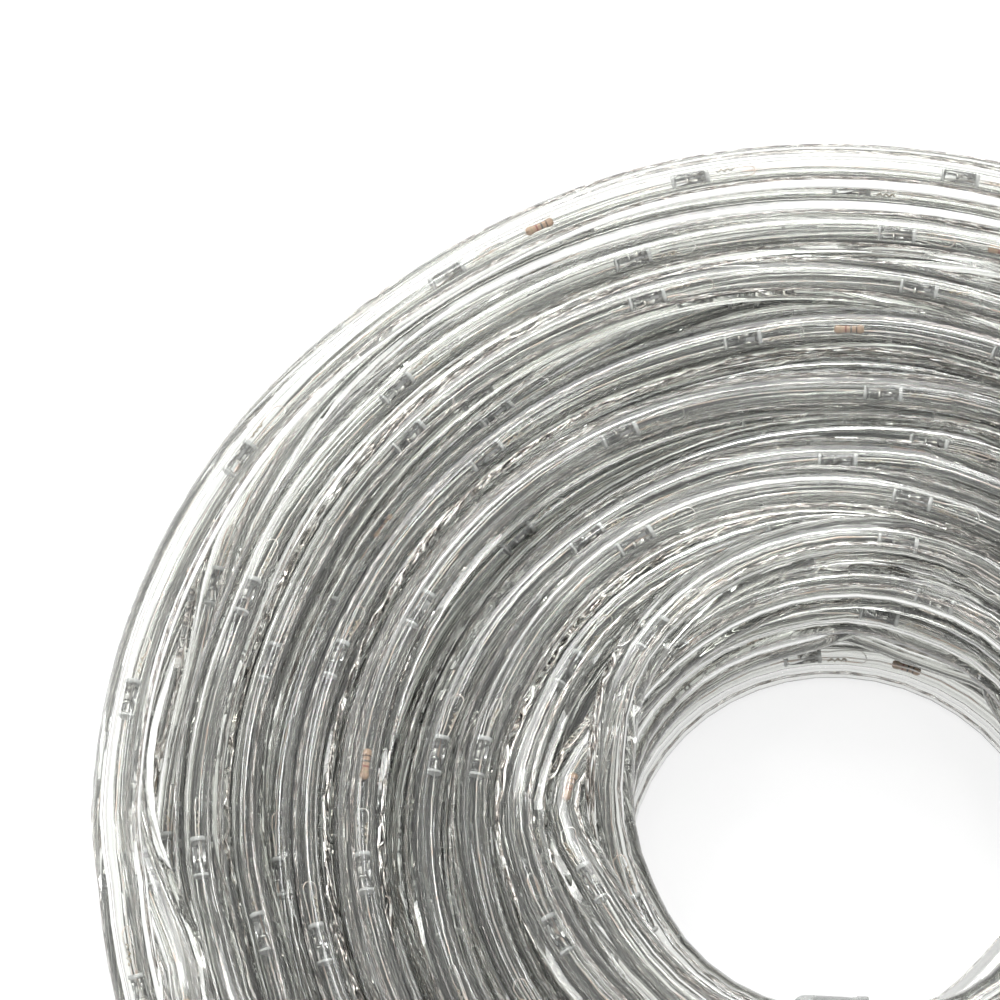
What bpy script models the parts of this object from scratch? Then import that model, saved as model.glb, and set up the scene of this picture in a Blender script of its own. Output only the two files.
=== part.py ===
"""A hand-wound coil of clear LED rope light, lying flat, with both rope ends sealed by caps.

Metres, +Z up. The origin is on the coil's axis, at the level that the lowest turns lie on.
The packed turns are one turned ring whose ridges are the turns. The rope winds counter-clockwise
from its inner end, on the floor of the bore, to its outer end, on the floor outside. Where the
two free ends come out of the ring, what is inside the rope is modelled too: the lamps with their
lead loops, a resistor, the series wires in the core and the two bus wires in the wall.
"""

import math

import bmesh
import bpy
from mathutils import Matrix, Vector

# The rope
ROPE_DIAMETER = 0.013
CORE_DIAMETER = 0.0054
BUS_WIRE_DIAMETER = 0.0011
BUS_WIRE_OFFSET = 0.0046
CLEARANCE = 0.0003

# The coil of packed turns, as its outer turns bound it
COIL_RADIUS = 0.200
COIL_LEAN = 0.005
BORE_RADIUS = 0.0585
BORE_LEAN = 0.0025
COIL_HEIGHT = 0.084
LAYER_NESTING = 0.90
RING_STEPS = 44
RIDGE_SIDES = 8

# The rope's two free ends
OUTER_TAIL_RUN = 0.150
OUTER_TAIL_CURL = math.radians(34)
OUTER_TAIL_AZIMUTH = math.radians(-90)
OUTER_TAIL_POINT_STEP = 0.026
OUTER_CORE_START = 0.040
INNER_TAIL_TURN = math.radians(84)
INNER_TAIL_AZIMUTH = math.radians(-8)
INNER_TAIL_POINT_TURN = math.radians(7)
INNER_CORE_START = 0.028
TAIL_SHOW = 0.72

# The lamps and what joins them
LED_LENGTH = 0.011
LED_FLANGE_DIAMETER = 0.0042
LED_BODY_DIAMETER = 0.0035
LED_RIM_DIAMETER = 0.0041
LED_FLANGE_HEIGHT = 0.0010
LED_RIM_HEIGHT = 0.0007
LED_FROM_TIP = 0.020
LEAD_DIAMETER = 0.0005
LEAD_SPACING = 0.0026
LOOP_REACH = 0.013
LEAD_STRAIGHT = 0.002
LOOP_BEND_POINTS = 8
SERIES_WIRE_DIAMETER = 0.0007
RESISTOR_LENGTH = 0.0085
RESISTOR_DIAMETER = 0.0025
RESISTOR_WAIST_DIAMETER = 0.0021
RESISTOR_END_LENGTH = 0.0020
RESISTOR_FROM_LOOP = 0.008

# The end caps
CAP_WALL = 0.0012
CAP_LENGTH = 0.022
CAP_DEPTH = 0.015
CAP_DOME_POINTS = 4
CAP_STEPS = 16
LAMP_STEPS = 12

ROPE_RADIUS = ROPE_DIAMETER / 2
CAP_BORE = ROPE_RADIUS + CLEARANCE
CAP_RADIUS = CAP_BORE + CAP_WALL
MERGE_DISTANCE = 0.00001


def clear_scene():
    """Remove every object that the file starts with."""
    for obj in list(bpy.data.objects):
        bpy.data.objects.remove(obj, do_unlink=True)


def new_collection(name, is_helper=False):
    """Add a collection to the scene, hidden in renders if it holds cutters."""
    collection = bpy.data.collections.new(name)
    bpy.context.scene.collection.children.link(collection)
    collection.hide_render = is_helper
    return collection


def finish(name, colour, roughness, metallic=0.0, transmission=0.0):
    """A Principled material."""
    material = bpy.data.materials.new(name)
    material.use_nodes = True
    shader = material.node_tree.nodes["Principled BSDF"]
    shader.inputs["Base Color"].default_value = (*colour, 1.0)
    shader.inputs["Roughness"].default_value = roughness
    shader.inputs["Metallic"].default_value = metallic
    shader.inputs["Transmission Weight"].default_value = transmission
    return material


def link_object(name, data, collection, material=None):
    """Make an object of the mesh or curve in the collection, with the material."""
    obj = bpy.data.objects.new(name, data)
    collection.objects.link(obj)
    if material:
        data.materials.clear()
        data.materials.append(material)
    return obj


def as_helper(obj):
    """Mark an object that only cuts others."""
    obj.hide_render = True
    obj.display_type = "WIRE"
    return obj


def direction(angle):
    """Unit vector at an angle in the plane of a section or of the floor."""
    return Vector((math.cos(angle), math.sin(angle)))


def eased(share):
    """Smooth step from 0 to 1."""
    share = min(1.0, max(0.0, share))
    return share * share * (3 - 2 * share)


def turned(name, points, is_closed, steps, collection, material=None):
    """Turn a profile of (radius, height) points about the Z axis with a Screw modifier."""
    count = len(points)
    edges = [(i, (i + 1) % count) for i in range(count if is_closed else count - 1)]
    mesh = bpy.data.meshes.new(name)
    mesh.from_pydata([(radius, 0.0, height) for radius, height in points], edges, [])
    obj = link_object(name, mesh, collection, material)
    screw = obj.modifiers.new("turned", "SCREW")
    screw.angle = math.tau
    screw.steps = steps
    screw.render_steps = steps
    screw.use_merge_vertices = True
    screw.merge_threshold = MERGE_DISTANCE
    screw.use_smooth_shade = True
    return obj


def tube(name, route, radius, sides, collection, material=None):
    """A round tube or wire on a route of points, closed at both ends."""
    curve = bpy.data.curves.new(name, "CURVE")
    curve.dimensions = "3D"
    curve.twist_mode = "Z_UP"
    curve.bevel_depth = radius
    curve.bevel_resolution = sides // 2 - 2
    curve.use_fill_caps = True
    spline = curve.splines.new("POLY")
    spline.points.add(len(route) - 1)
    for point, place in zip(spline.points, route):
        point.co = (*place, 1.0)
    spline.use_smooth = True
    return link_object(name, curve, collection, material)


def as_mesh(obj, collection):
    """Swap a curve object for the same shape as a mesh with its caps welded on."""
    bpy.context.view_layer.update()
    graph = bpy.context.evaluated_depsgraph_get()
    mesh = bpy.data.meshes.new_from_object(obj.evaluated_get(graph))
    name = obj.name
    bpy.data.objects.remove(obj, do_unlink=True)
    mesh.name = name
    welded = bmesh.new()
    welded.from_mesh(mesh)
    bmesh.ops.remove_doubles(welded, verts=welded.verts, dist=MERGE_DISTANCE)
    bmesh.ops.recalc_face_normals(welded, faces=welded.faces)
    welded.to_mesh(mesh)
    welded.free()
    made = bpy.data.objects.new(name, mesh)
    collection.objects.link(made)
    return made


def turns_between(start, end, pitch):
    """Centres of the turns from start to end, both included, near the pitch apart."""
    span = Vector(end) - Vector(start)
    gaps = max(1, round(span.length / pitch))
    return [Vector(start) + span * (i / gaps) for i in range(gaps + 1)]


def coil_profile(grow=0.0):
    """Outline of the packed turns in section: each outer turn shows as one ridge.

    The outline runs outwards over the top, down the outside, inwards along the floor
    and up the bore. grow moves it outwards all round.
    """
    low, high = ROPE_RADIUS, COIL_HEIGHT - ROPE_RADIUS
    inner_top = (BORE_RADIUS - BORE_LEAN + ROPE_RADIUS, high)
    outer_top = (COIL_RADIUS - COIL_LEAN - ROPE_RADIUS, high)
    outer_low = (COIL_RADIUS - ROPE_RADIUS, low)
    inner_low = (BORE_RADIUS + ROPE_RADIUS, low)
    layer_pitch = ROPE_DIAMETER * LAYER_NESTING
    sides = (
        (inner_top, outer_top, ROPE_DIAMETER, math.radians(90)),
        (outer_top, outer_low, layer_pitch, 0.0),
        (outer_low, inner_low, ROPE_DIAMETER, math.radians(-90)),
        (inner_low, inner_top, layer_pitch, math.radians(-180)),
    )
    half_side = math.pi / RIDGE_SIDES
    corner = (ROPE_RADIUS + grow) / math.cos(half_side)
    outline = []
    for start, end, pitch, facing in sides:
        normal = direction(facing)
        centres = turns_between(start, end, pitch)
        for index, centre in enumerate(centres):
            if index:
                middle = (centres[index - 1] + centre) / 2
                half_gap = (centre - centres[index - 1]).length / 2
                valley = (ROPE_RADIUS + grow) * math.tan(half_side) + max(0.0, ROPE_RADIUS - half_gap)
                outline.append(middle + normal * valley)
            outline.append(centre + corner * direction(facing + half_side))
            outline.append(centre + corner * direction(facing - half_side))
    return [tuple(point) for point in outline]


def rest_height(share):
    """Height of a free end's centre line: on the floor, lifted by the cap's wall at its tip."""
    return ROPE_RADIUS + (CAP_RADIUS - ROPE_RADIUS) * eased(share)


def outer_tail_route():
    """Points of the outer free end, from the coil to its tip.

    It leaves the outer turn of the lowest layer along its tangent and then curls round
    the coil a little, because the rope keeps some of its winding's bend.
    """
    turn_radius = COIL_RADIUS - ROPE_RADIUS
    outward = direction(OUTER_TAIL_AZIMUTH)
    along = direction(OUTER_TAIL_AZIMUTH + math.pi / 2)
    shown = turn_radius + ROPE_DIAMETER * (1 - TAIL_SHOW)
    lead = math.sqrt(shown * shown - turn_radius * turn_radius)
    steps = round(OUTER_TAIL_RUN / OUTER_TAIL_POINT_STEP)
    step = OUTER_TAIL_RUN / steps
    place = outward * turn_radius + along * lead
    points = []
    for index in range(steps + 1):
        share = index / steps
        points.append(Vector((place.x, place.y, rest_height(share))))
        curl = OUTER_TAIL_CURL * (share + 0.5 / steps) ** 2
        place = place + (along * math.cos(curl) - outward * math.sin(curl)) * step
    return points


def inner_tail_route():
    """Points of the inner free end, from the coil to its tip, pressed to the bore's wall."""
    joined = BORE_RADIUS + ROPE_RADIUS - ROPE_DIAMETER * TAIL_SHOW
    pressed = BORE_RADIUS - CLEARANCE - ROPE_RADIUS
    cap_sag = CAP_LENGTH * CAP_LENGTH / (2 * pressed)
    tip = BORE_RADIUS - CLEARANCE - CAP_RADIUS - cap_sag
    steps = round(INNER_TAIL_TURN / INNER_TAIL_POINT_TURN)
    points = []
    for index in range(steps + 1):
        share = index / steps
        radius = joined + (pressed - joined) * eased(share / 0.35)
        radius += (tip - pressed) * eased((share - 0.45) / 0.5)
        flat = direction(INNER_TAIL_AZIMUTH - INNER_TAIL_TURN * share) * radius
        points.append(Vector((flat.x, flat.y, rest_height(share))))
    return points


def point_at(route, distance):
    """The point of a route at a distance from its start, past its end in a straight line."""
    for start, end in zip(route, route[1:]):
        length = (end - start).length
        if distance <= length or end is route[-1]:
            return start + (end - start) * (distance / length)
        distance -= length


def route_length(route):
    """Length of a route."""
    return sum((end - start).length for start, end in zip(route, route[1:]))


def stretch(route, start, end, sideways=0.0):
    """The points of a route between two distances, moved sideways in the level plane."""
    travelled = 0.0
    points = [point_at(route, start)]
    for before, after in zip(route, route[1:]):
        travelled += (after - before).length
        if start + MERGE_DISTANCE < travelled < end - MERGE_DISTANCE and after is not route[-1]:
            points.append(after)
    points.append(point_at(route, end))
    shifted = []
    for index, point in enumerate(points):
        heading = points[min(index + 1, len(points) - 1)] - points[max(index - 1, 0)]
        side = Vector((-heading.y, heading.x, 0.0)).normalized()
        shifted.append(point + side * sideways)
    return shifted


def stand(obj, foot, heading):
    """Place a turned piece with its foot at a point and its own Z axis along a heading."""
    turn = Vector((0.0, 0.0, 1.0)).rotation_difference(heading)
    obj.matrix_world = Matrix.Translation(foot) @ turn.to_matrix().to_4x4()
    return obj


def seat_on_route(route, start, end):
    """The foot and heading of a straight piece that runs from one distance to another."""
    low, high = point_at(route, start), point_at(route, end)
    heading = (high - low).normalized()
    return (low + high) / 2 - heading * (abs(end - start) / 2), heading


def make_coil(parts, cutters, pvc):
    """The ring of packed turns with its bore, and the cutter that clears it."""
    turned("rope_coil", coil_profile(), True, RING_STEPS, parts, pvc)
    return as_helper(turned("coil_clearance", coil_profile(CLEARANCE), True, RING_STEPS, cutters))


def make_tail(name, route, core_start, ring_cutter, parts, cutters, pvc):
    """A free end of the rope, trimmed at the coil, with its core and bus wire channels open
    at its cut end."""
    past_end = route_length(route) + ROPE_RADIUS
    channels = [ring_cutter]
    for label, sideways, radius, sides in (
        ("core", 0.0, CORE_DIAMETER / 2, 12),
        ("bus_1", BUS_WIRE_OFFSET, BUS_WIRE_DIAMETER / 2 + CLEARANCE, 8),
        ("bus_2", -BUS_WIRE_OFFSET, BUS_WIRE_DIAMETER / 2 + CLEARANCE, 8),
    ):
        line = stretch(route, core_start, past_end, sideways)
        cutter = tube(f"{name}_{label}_channel", line, radius, sides, cutters)
        channels.append(as_helper(as_mesh(cutter, cutters)))
    obj = as_mesh(tube(name, route, ROPE_RADIUS, 12, parts), parts)
    obj.data.materials.append(pvc)
    for cutter in channels:
        cut = obj.modifiers.new(cutter.name, "BOOLEAN")
        cut.operation = "DIFFERENCE"
        cut.solver = "EXACT"
        cut.object = cutter
    return obj


def make_bus_wires(prefix, route, core_start, parts, copper):
    """The two bus wires in the wall of a free end."""
    end = route_length(route) - CLEARANCE
    for number, sideways in enumerate((BUS_WIRE_OFFSET, -BUS_WIRE_OFFSET), start=1):
        line = stretch(route, core_start + CLEARANCE, end, sideways)
        tube(f"{prefix}_bus_wire_{number}", line, BUS_WIRE_DIAMETER / 2, 8, parts, copper)


def make_led(name, route, base, lens, parts, epoxy):
    """A lamp in the core: flange at its base, body, and a rim round its lens end."""
    flange, body, rim = (d / 2 for d in (LED_FLANGE_DIAMETER, LED_BODY_DIAMETER, LED_RIM_DIAMETER))
    profile = [
        (0.0, LED_LENGTH),
        (rim, LED_LENGTH),
        (rim, LED_LENGTH - LED_RIM_HEIGHT),
        (body, LED_LENGTH - LED_RIM_HEIGHT - (rim - body)),
        (body, LED_FLANGE_HEIGHT),
        (flange, LED_FLANGE_HEIGHT),
        (flange, 0.0),
        (0.0, 0.0),
    ]
    lamp = turned(name, profile, False, LAMP_STEPS, parts, epoxy)
    return stand(lamp, *seat_on_route(route, base, lens))


def make_lead_loop(name, route, base, lens, parts, copper):
    """The hairpin of a lamp's two leads, which starts square to the lamp's base."""
    way = math.copysign(1.0, base - lens)
    half = LEAD_SPACING / 2
    foot, heading = seat_on_route(route, base, lens)
    side = Vector((-heading.y, heading.x, 0.0)).normalized() * way
    start, end = sorted((base + way * LEAD_STRAIGHT, base + way * (LOOP_REACH - half)))
    legs = []
    for sign in (-1, 1):
        leg = stretch(route, start, end, sign * half)
        if way < 0:
            leg.reverse()
        legs.append([foot - heading * CLEARANCE - side * (sign * half)] + leg)
    out, back = legs
    centre = (out[-1] + back[-1]) / 2
    across = out[-1] - centre
    ahead = (out[-1] - out[-2]).normalized()
    bend = []
    for index in range(LOOP_BEND_POINTS + 1):
        angle = math.pi * index / LOOP_BEND_POINTS
        bend.append(centre + across * math.cos(angle) + ahead * (half * math.sin(angle)))
    return tube(name, out[:-1] + bend + back[-2::-1], LEAD_DIAMETER / 2, 8, parts, copper)


def make_resistor(name, route, start, parts, ceramic):
    """A resistor in the core, with its thicker ends."""
    end, waist = RESISTOR_DIAMETER / 2, RESISTOR_WAIST_DIAMETER / 2
    profile = [
        (0.0, RESISTOR_LENGTH),
        (end * 0.7, RESISTOR_LENGTH),
        (end, RESISTOR_LENGTH - end * 0.4),
        (end, RESISTOR_LENGTH - RESISTOR_END_LENGTH),
        (waist, RESISTOR_LENGTH - RESISTOR_END_LENGTH - (end - waist)),
        (waist, RESISTOR_END_LENGTH + (end - waist)),
        (end, RESISTOR_END_LENGTH),
        (end, end * 0.4),
        (end * 0.7, 0.0),
        (0.0, 0.0),
    ]
    body = turned(name, profile, False, LAMP_STEPS, parts, ceramic)
    return stand(body, *seat_on_route(route, start, start + RESISTOR_LENGTH))


def make_series_wire(name, route, start, end, parts, copper):
    """A wire on the core's centre line that joins one lamp to the next."""
    line = stretch(route, start + CLEARANCE, end - CLEARANCE)
    return tube(name, line, SERIES_WIRE_DIAMETER / 2, 8, parts, copper)


def make_cap(name, route, parts, pvc):
    """An end cap: a cup with a domed end, pushed over the tip of a free end."""
    dome = CAP_RADIUS * 0.6
    profile = [(0.0, CAP_LENGTH)]
    for index in range(1, CAP_DOME_POINTS + 1):
        angle = math.pi / 2 * (1 - index / CAP_DOME_POINTS)
        profile.append((CAP_RADIUS * math.cos(angle), CAP_LENGTH - dome + dome * math.sin(angle)))
    profile += [(CAP_RADIUS, 0.0), (CAP_BORE, 0.0), (CAP_BORE, CAP_DEPTH), (0.0, CAP_DEPTH)]
    heading = (route[-1] - route[-2]).normalized()
    foot = route[-1] - heading * (CAP_DEPTH - CLEARANCE)
    return stand(turned(name, profile, False, CAP_STEPS, parts, pvc), foot, heading)


def main():
    """Build the coil, its two free ends with what is in them, and their caps."""
    clear_scene()
    parts = new_collection("rope_light_coil")
    cutters = new_collection("cutters", is_helper=True)
    clear_pvc = finish("clear_pvc", (0.72, 0.75, 0.72), 0.12, transmission=0.85)
    cap_pvc = finish("cap_pvc", (0.80, 0.82, 0.80), 0.22, transmission=0.55)
    epoxy = finish("led_epoxy", (0.90, 0.92, 0.92), 0.05, transmission=0.90)
    copper = finish("tinned_copper", (0.72, 0.68, 0.64), 0.35, metallic=1.0)
    ceramic = finish("resistor_body", (0.72, 0.56, 0.42), 0.45)
    ring_cutter = make_coil(parts, cutters, clear_pvc)

    route = outer_tail_route()
    lens = route_length(route) - LED_FROM_TIP
    base = lens - LED_LENGTH
    resistor_end = base - LOOP_REACH - RESISTOR_FROM_LOOP
    resistor_start = resistor_end - RESISTOR_LENGTH
    make_tail("outer_tail", route, OUTER_CORE_START, ring_cutter, parts, cutters, clear_pvc)
    make_bus_wires("outer", route, OUTER_CORE_START, parts, copper)
    make_led("outer_led", route, base, lens, parts, epoxy)
    make_lead_loop("outer_lead_loop", route, base, lens, parts, copper)
    make_resistor("outer_resistor", route, resistor_start, parts, ceramic)
    loop_end = base - LOOP_REACH - LEAD_DIAMETER / 2
    make_series_wire("outer_series_wire_1", route, resistor_end, loop_end, parts, copper)
    make_series_wire("outer_series_wire_2", route, OUTER_CORE_START, resistor_start, parts, copper)
    make_cap("outer_end_cap", route, parts, cap_pvc)

    route = inner_tail_route()
    lens = INNER_CORE_START + CLEARANCE
    base = lens + LED_LENGTH
    make_tail("inner_tail", route, INNER_CORE_START, ring_cutter, parts, cutters, clear_pvc)
    make_bus_wires("inner", route, INNER_CORE_START, parts, copper)
    make_led("inner_led", route, base, lens, parts, epoxy)
    make_lead_loop("inner_lead_loop", route, base, lens, parts, copper)
    loop_end = base + LOOP_REACH + LEAD_DIAMETER / 2
    make_series_wire("inner_series_wire", route, loop_end, route_length(route), parts, copper)
    make_cap("inner_end_cap", route, parts, cap_pvc)


main()
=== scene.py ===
"""The looks of a hand-wound coil of clear LED rope light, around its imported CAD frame.

One continuous rope is wound from its inner end, on the floor of the bore, to its outer end, on the
floor outside. Everything else follows that rope: the jacket, the lamps in its core with their leads,
the resistors, the series wire, the two stranded bus wires in its wall and the caps on its ends.
"""

import logging
import math
from dataclasses import dataclass, field
from enum import Enum

import bmesh
import bpy
import numpy as np
from mathutils import Matrix, Vector


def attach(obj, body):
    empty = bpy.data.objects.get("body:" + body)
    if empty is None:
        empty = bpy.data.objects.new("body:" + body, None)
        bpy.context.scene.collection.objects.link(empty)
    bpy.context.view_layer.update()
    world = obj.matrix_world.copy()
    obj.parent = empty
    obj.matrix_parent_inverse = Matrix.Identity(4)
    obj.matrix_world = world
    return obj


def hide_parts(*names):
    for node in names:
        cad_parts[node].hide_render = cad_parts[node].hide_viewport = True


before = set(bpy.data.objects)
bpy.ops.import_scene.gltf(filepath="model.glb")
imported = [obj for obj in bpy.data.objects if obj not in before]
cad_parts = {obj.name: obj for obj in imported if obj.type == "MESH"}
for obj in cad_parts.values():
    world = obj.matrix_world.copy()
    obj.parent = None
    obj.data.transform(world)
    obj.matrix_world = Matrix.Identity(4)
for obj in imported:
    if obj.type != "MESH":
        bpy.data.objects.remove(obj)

LOG = logging.getLogger("rope_light")
BODY = "root"
MM = 0.001
FINE_PARTS = 8


class Slot(Enum):
    """The record's material slots."""

    PVC = "clear_pvc"
    CAP = "cap_pvc"
    EPOXY = "led_epoxy"
    COPPER = "tinned_copper"
    CERAMIC = "resistor_body"


class Bundle(Enum):
    """The two bus wires, by the side of the core that each runs on."""

    LEFT = 1
    RIGHT = -1


def eased(share: np.ndarray) -> np.ndarray:
    """Smooth steps from 0 to 1.

    Args:
        share: How far along each step is.

    Returns:
        The smoothed shares, held between 0 and 1.
    """
    held = np.clip(share, 0.0, 1.0)
    return held * held * (3.0 - 2.0 * held)


def unit(vectors: np.ndarray) -> np.ndarray:
    """Rows of an array scaled to length 1.

    Args:
        vectors: One vector for each row.

    Returns:
        The unit vectors.
    """
    return vectors / np.maximum(np.linalg.norm(vectors, axis=-1, keepdims=True), 1e-12)


def between(run: tuple[np.ndarray, ...], part: np.ndarray | float) -> np.ndarray:
    """Values on the smooth curve between the middle two of four knots in a row.

    Args:
        run: The four knots, or four arrays of them.
        part: How far along from the second knot to the third.

    Returns:
        The values.
    """
    before, start, end, after = run
    return 0.5 * (
        2.0 * start
        + (end - before) * part
        + (2.0 * before - 5.0 * start + 4.0 * end - after) * part**2
        + (3.0 * start - before - 3.0 * end + after) * part**3
    )


def smooth_noise(rng: np.random.Generator, count: int, wavelength: float) -> np.ndarray:
    """Smooth random values between about -1 and 1.

    Args:
        rng: The seeded source of random numbers.
        count: How many values.
        wavelength: Samples from one random knot to the next.

    Returns:
        The values.
    """
    knots = rng.uniform(-1.0, 1.0, int(count / wavelength) + 5)
    place = np.arange(count) / wavelength
    index = place.astype(int)
    return between(tuple(knots[index + shift] for shift in range(4)), place - index)


def through(points: np.ndarray, step: float) -> np.ndarray:
    """Points at even steps on a smooth curve through a row of points.

    Args:
        points: The points that the curve goes through.
        step: About how far apart the new points lie.

    Returns:
        The new points, the first and last of them the curve's ends.
    """
    padded = np.vstack([2 * points[0] - points[1], points, 2 * points[-1] - points[-2]])
    run = tuple(padded[shift : shift + len(points) - 1] for shift in range(4))
    fine = [between(run, part) for part in np.arange(FINE_PARTS) / FINE_PARTS]
    dense = np.stack(fine, axis=1).reshape(-1, 3)
    dense = np.vstack([dense, points[-1]])
    travelled = np.concatenate([[0.0], np.cumsum(np.linalg.norm(np.diff(dense, axis=0), axis=1))])
    even = np.linspace(0.0, travelled[-1], int(round(travelled[-1] / step)) + 1)
    return np.stack([np.interp(even, travelled, dense[:, axis]) for axis in range(3)], axis=1)


def stand(name: str, data: bpy.types.ID) -> bpy.types.Object:
    """A new object in the scene.

    Args:
        name: The object's name.
        data: Its mesh, light or camera.

    Returns:
        The object.
    """
    made = bpy.data.objects.new(name, data)
    bpy.context.scene.collection.objects.link(made)
    return made


@dataclass
class RopeSize:
    """Sizes of the rope and of what is sealed in it, in metres, as in the CAD source."""

    diameter: float = 0.013
    core_diameter: float = 0.0054
    bus_offset: float = 0.0046
    cap_wall: float = 0.0012
    cap_length: float = 0.022
    cap_depth: float = 0.015
    clearance: float = 0.0003

    @property
    def radius(self) -> float:
        """Half the rope's diameter."""
        return self.diameter / 2

    @property
    def cap_radius(self) -> float:
        """Outer radius of an end cap."""
        return self.radius + self.clearance + self.cap_wall


@dataclass
class Winding:
    """How the rope is wound: one layer of turns on another, outwards and then inwards."""

    rope: RopeSize
    coil_radius: float = 0.200
    coil_lean: float = 0.005
    bore_radius: float = 0.0585
    bore_lean: float = 0.0025
    height: float = 0.084
    turns: int = 56
    samples: int = 100
    turns_per_layer: float = 8.0
    turns_at_rim: float = 1.1
    wander: float = 0.0022
    wander_turns: float = 0.35
    top_turns: float = 13.0
    top_wander: float = 0.0085
    top_wander_turns: float = 0.45
    edge_wander: float = 0.0024
    edge_wander_turns: float = 0.3
    left_bulge: float = 0.0045
    left_bulge_azimuth: float = math.radians(155)
    left_bulge_turn: float = math.radians(120)
    near_lean: float = 0.0065
    near_lean_azimuth: float = math.radians(-115)
    near_lean_turn: float = math.radians(170)
    lift_bend: float = 0.30
    lift_reach: int = 24
    settle_rounds: int = 250
    settle_sink: float = 0.0002
    settle_recall: float = 0.01
    settle_smooth: float = 0.35
    settle_push: float = 0.25
    inner_tail_azimuth: float = math.radians(-8)
    inner_tail_turn: float = math.radians(84)
    inner_tail_end: float = math.radians(30)
    outer_tail_azimuth: float = math.radians(-90)
    outer_tail_run: float = 0.150
    outer_tail_curl: float = math.radians(34)
    outer_tail_steps: int = 6
    tail_show: float = 0.72
    drop_before_end: float = math.radians(75)
    drop_turn: float = math.radians(62)
    drop_approach: float = math.radians(60)
    ceiling: float = 0.0778
    seed: int = 3

    @property
    def start_azimuth(self) -> float:
        """Azimuth of the rope's inner cut end."""
        return self.inner_tail_azimuth - self.inner_tail_turn

    @property
    def drop_start(self) -> float:
        """Azimuth, counted on from the inner end, where the last turn leaves the top of the pile."""
        return self.start_azimuth + self.turns * math.tau - self.drop_before_end

    def angles(self) -> np.ndarray:
        """Azimuths of every sample of the winding, from the inner end on."""
        return self.start_azimuth + np.arange(self.turns * self.samples) * math.tau / self.samples

    def outer_drop(self, angles: np.ndarray, top: float) -> np.ndarray:
        """Heights of the last turn as it comes down beside the pile to the floor.

        Args:
            angles: Azimuths of the samples on it.
            top: The height that it leaves the top of the pile at.

        Returns:
            The heights.
        """
        floor = self.rope.radius
        return top + (floor - top) * eased((angles - self.drop_start) / self.drop_turn)

    def swell(self, angles: np.ndarray, middle: float, width: float) -> np.ndarray:
        """A smooth swelling round one side of the coil.

        Args:
            angles: Azimuths of the samples.
            middle: Azimuth where it is fullest.
            width: The whole turn that it takes.

        Returns:
            Its share at each sample, 1 where it is fullest.
        """
        away = np.mod(angles - middle + math.pi, math.tau) - math.pi
        return eased(1.0 - np.abs(away) / (width / 2))

    def outer_limit(self, angles: np.ndarray) -> np.ndarray:
        """The largest radius that a turn lies at, at each azimuth."""
        swell = self.swell(angles, self.left_bulge_azimuth, self.left_bulge_turn)
        return self.coil_radius - self.rope.radius + self.left_bulge * swell

    def laid_radius(self, rng: np.random.Generator) -> np.ndarray:
        """The radius that the hand lays each sample at.

        Args:
            rng: The seeded source of random numbers.

        Returns:
            One radius for each sample.
        """
        count = self.turns * self.samples
        inner = self.bore_radius + self.rope.radius
        angles = self.angles()
        outer = self.outer_limit(angles)
        layer = np.arange(count) / self.samples / self.turns_per_layer
        share = 1.0 - np.abs(np.mod(layer, 2.0) - 1.0)
        stay = 0.5 * self.turns_at_rim / self.turns_per_layer
        share = np.clip((share - stay) / (1.0 - 2.0 * stay), 0.0, 1.0)
        radius = inner + (outer - inner) * share
        radius += self.wander * smooth_noise(rng, count, self.wander_turns * self.samples)
        radius += 0.5 * self.wander * smooth_noise(rng, count, 0.5 * self.wander_turns * self.samples)
        late = eased((np.arange(count) / self.samples - self.turns + self.top_turns + 1.0) / 2.0)
        radius += self.top_wander * late * smooth_noise(rng, count, self.top_wander_turns * self.samples)
        edge = self.edge_wander * np.abs(smooth_noise(rng, count, self.edge_wander_turns * self.samples))
        radius = np.clip(radius, inner + 0.5 * edge, outer - edge)
        to_rim = eased((angles - self.drop_start + self.drop_approach) / self.drop_approach)
        return radius + (outer - radius) * to_rim

    def inner_tail(self, angles: np.ndarray) -> tuple[np.ndarray, np.ndarray]:
        """Radius and height of the inner free end and of its way to the first turn.

        Args:
            angles: Azimuths of the samples on it.

        Returns:
            The radius and the height at each azimuth.
        """
        rope = self.rope
        pressed = self.bore_radius - rope.clearance - rope.radius
        first = self.bore_radius + rope.radius
        share = (self.inner_tail_azimuth - angles) / self.inner_tail_turn
        sag = rope.cap_length**2 / (2 * pressed)
        tip = self.bore_radius - rope.clearance - rope.cap_radius - sag
        radius = pressed + (first - pressed) * eased((angles + math.radians(36)) / math.radians(66))
        radius += (tip - pressed) * eased((share - 0.45) / 0.5)
        height = rope.radius + (rope.cap_radius - rope.radius) * eased(share)
        return radius, height

    def outer_tail(self) -> np.ndarray:
        """Points of the outer free end, from the tangent point to its tip, as in the CAD source."""
        rope = self.rope
        turn_radius = self.coil_radius - rope.radius
        outward = np.array([math.cos(self.outer_tail_azimuth), math.sin(self.outer_tail_azimuth), 0.0])
        along = np.array([-outward[1], outward[0], 0.0])
        shown = turn_radius + rope.diameter * (1 - self.tail_show)
        lead = math.sqrt(shown**2 - turn_radius**2)
        place = outward * turn_radius + along * lead
        points = [outward * turn_radius + along * (lead * 0.5) + [0, 0, rope.radius]]
        for index in range(self.outer_tail_steps + 1):
            share = index / self.outer_tail_steps
            height = rope.radius + (rope.cap_radius - rope.radius) * float(eased(share))
            points.append(place + [0, 0, height])
            curl = self.outer_tail_curl * (share + 0.5 / self.outer_tail_steps) ** 2
            step = self.outer_tail_run / self.outer_tail_steps
            place = place + (along * math.cos(curl) - outward * math.sin(curl)) * step
        return np.array(points)

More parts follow.
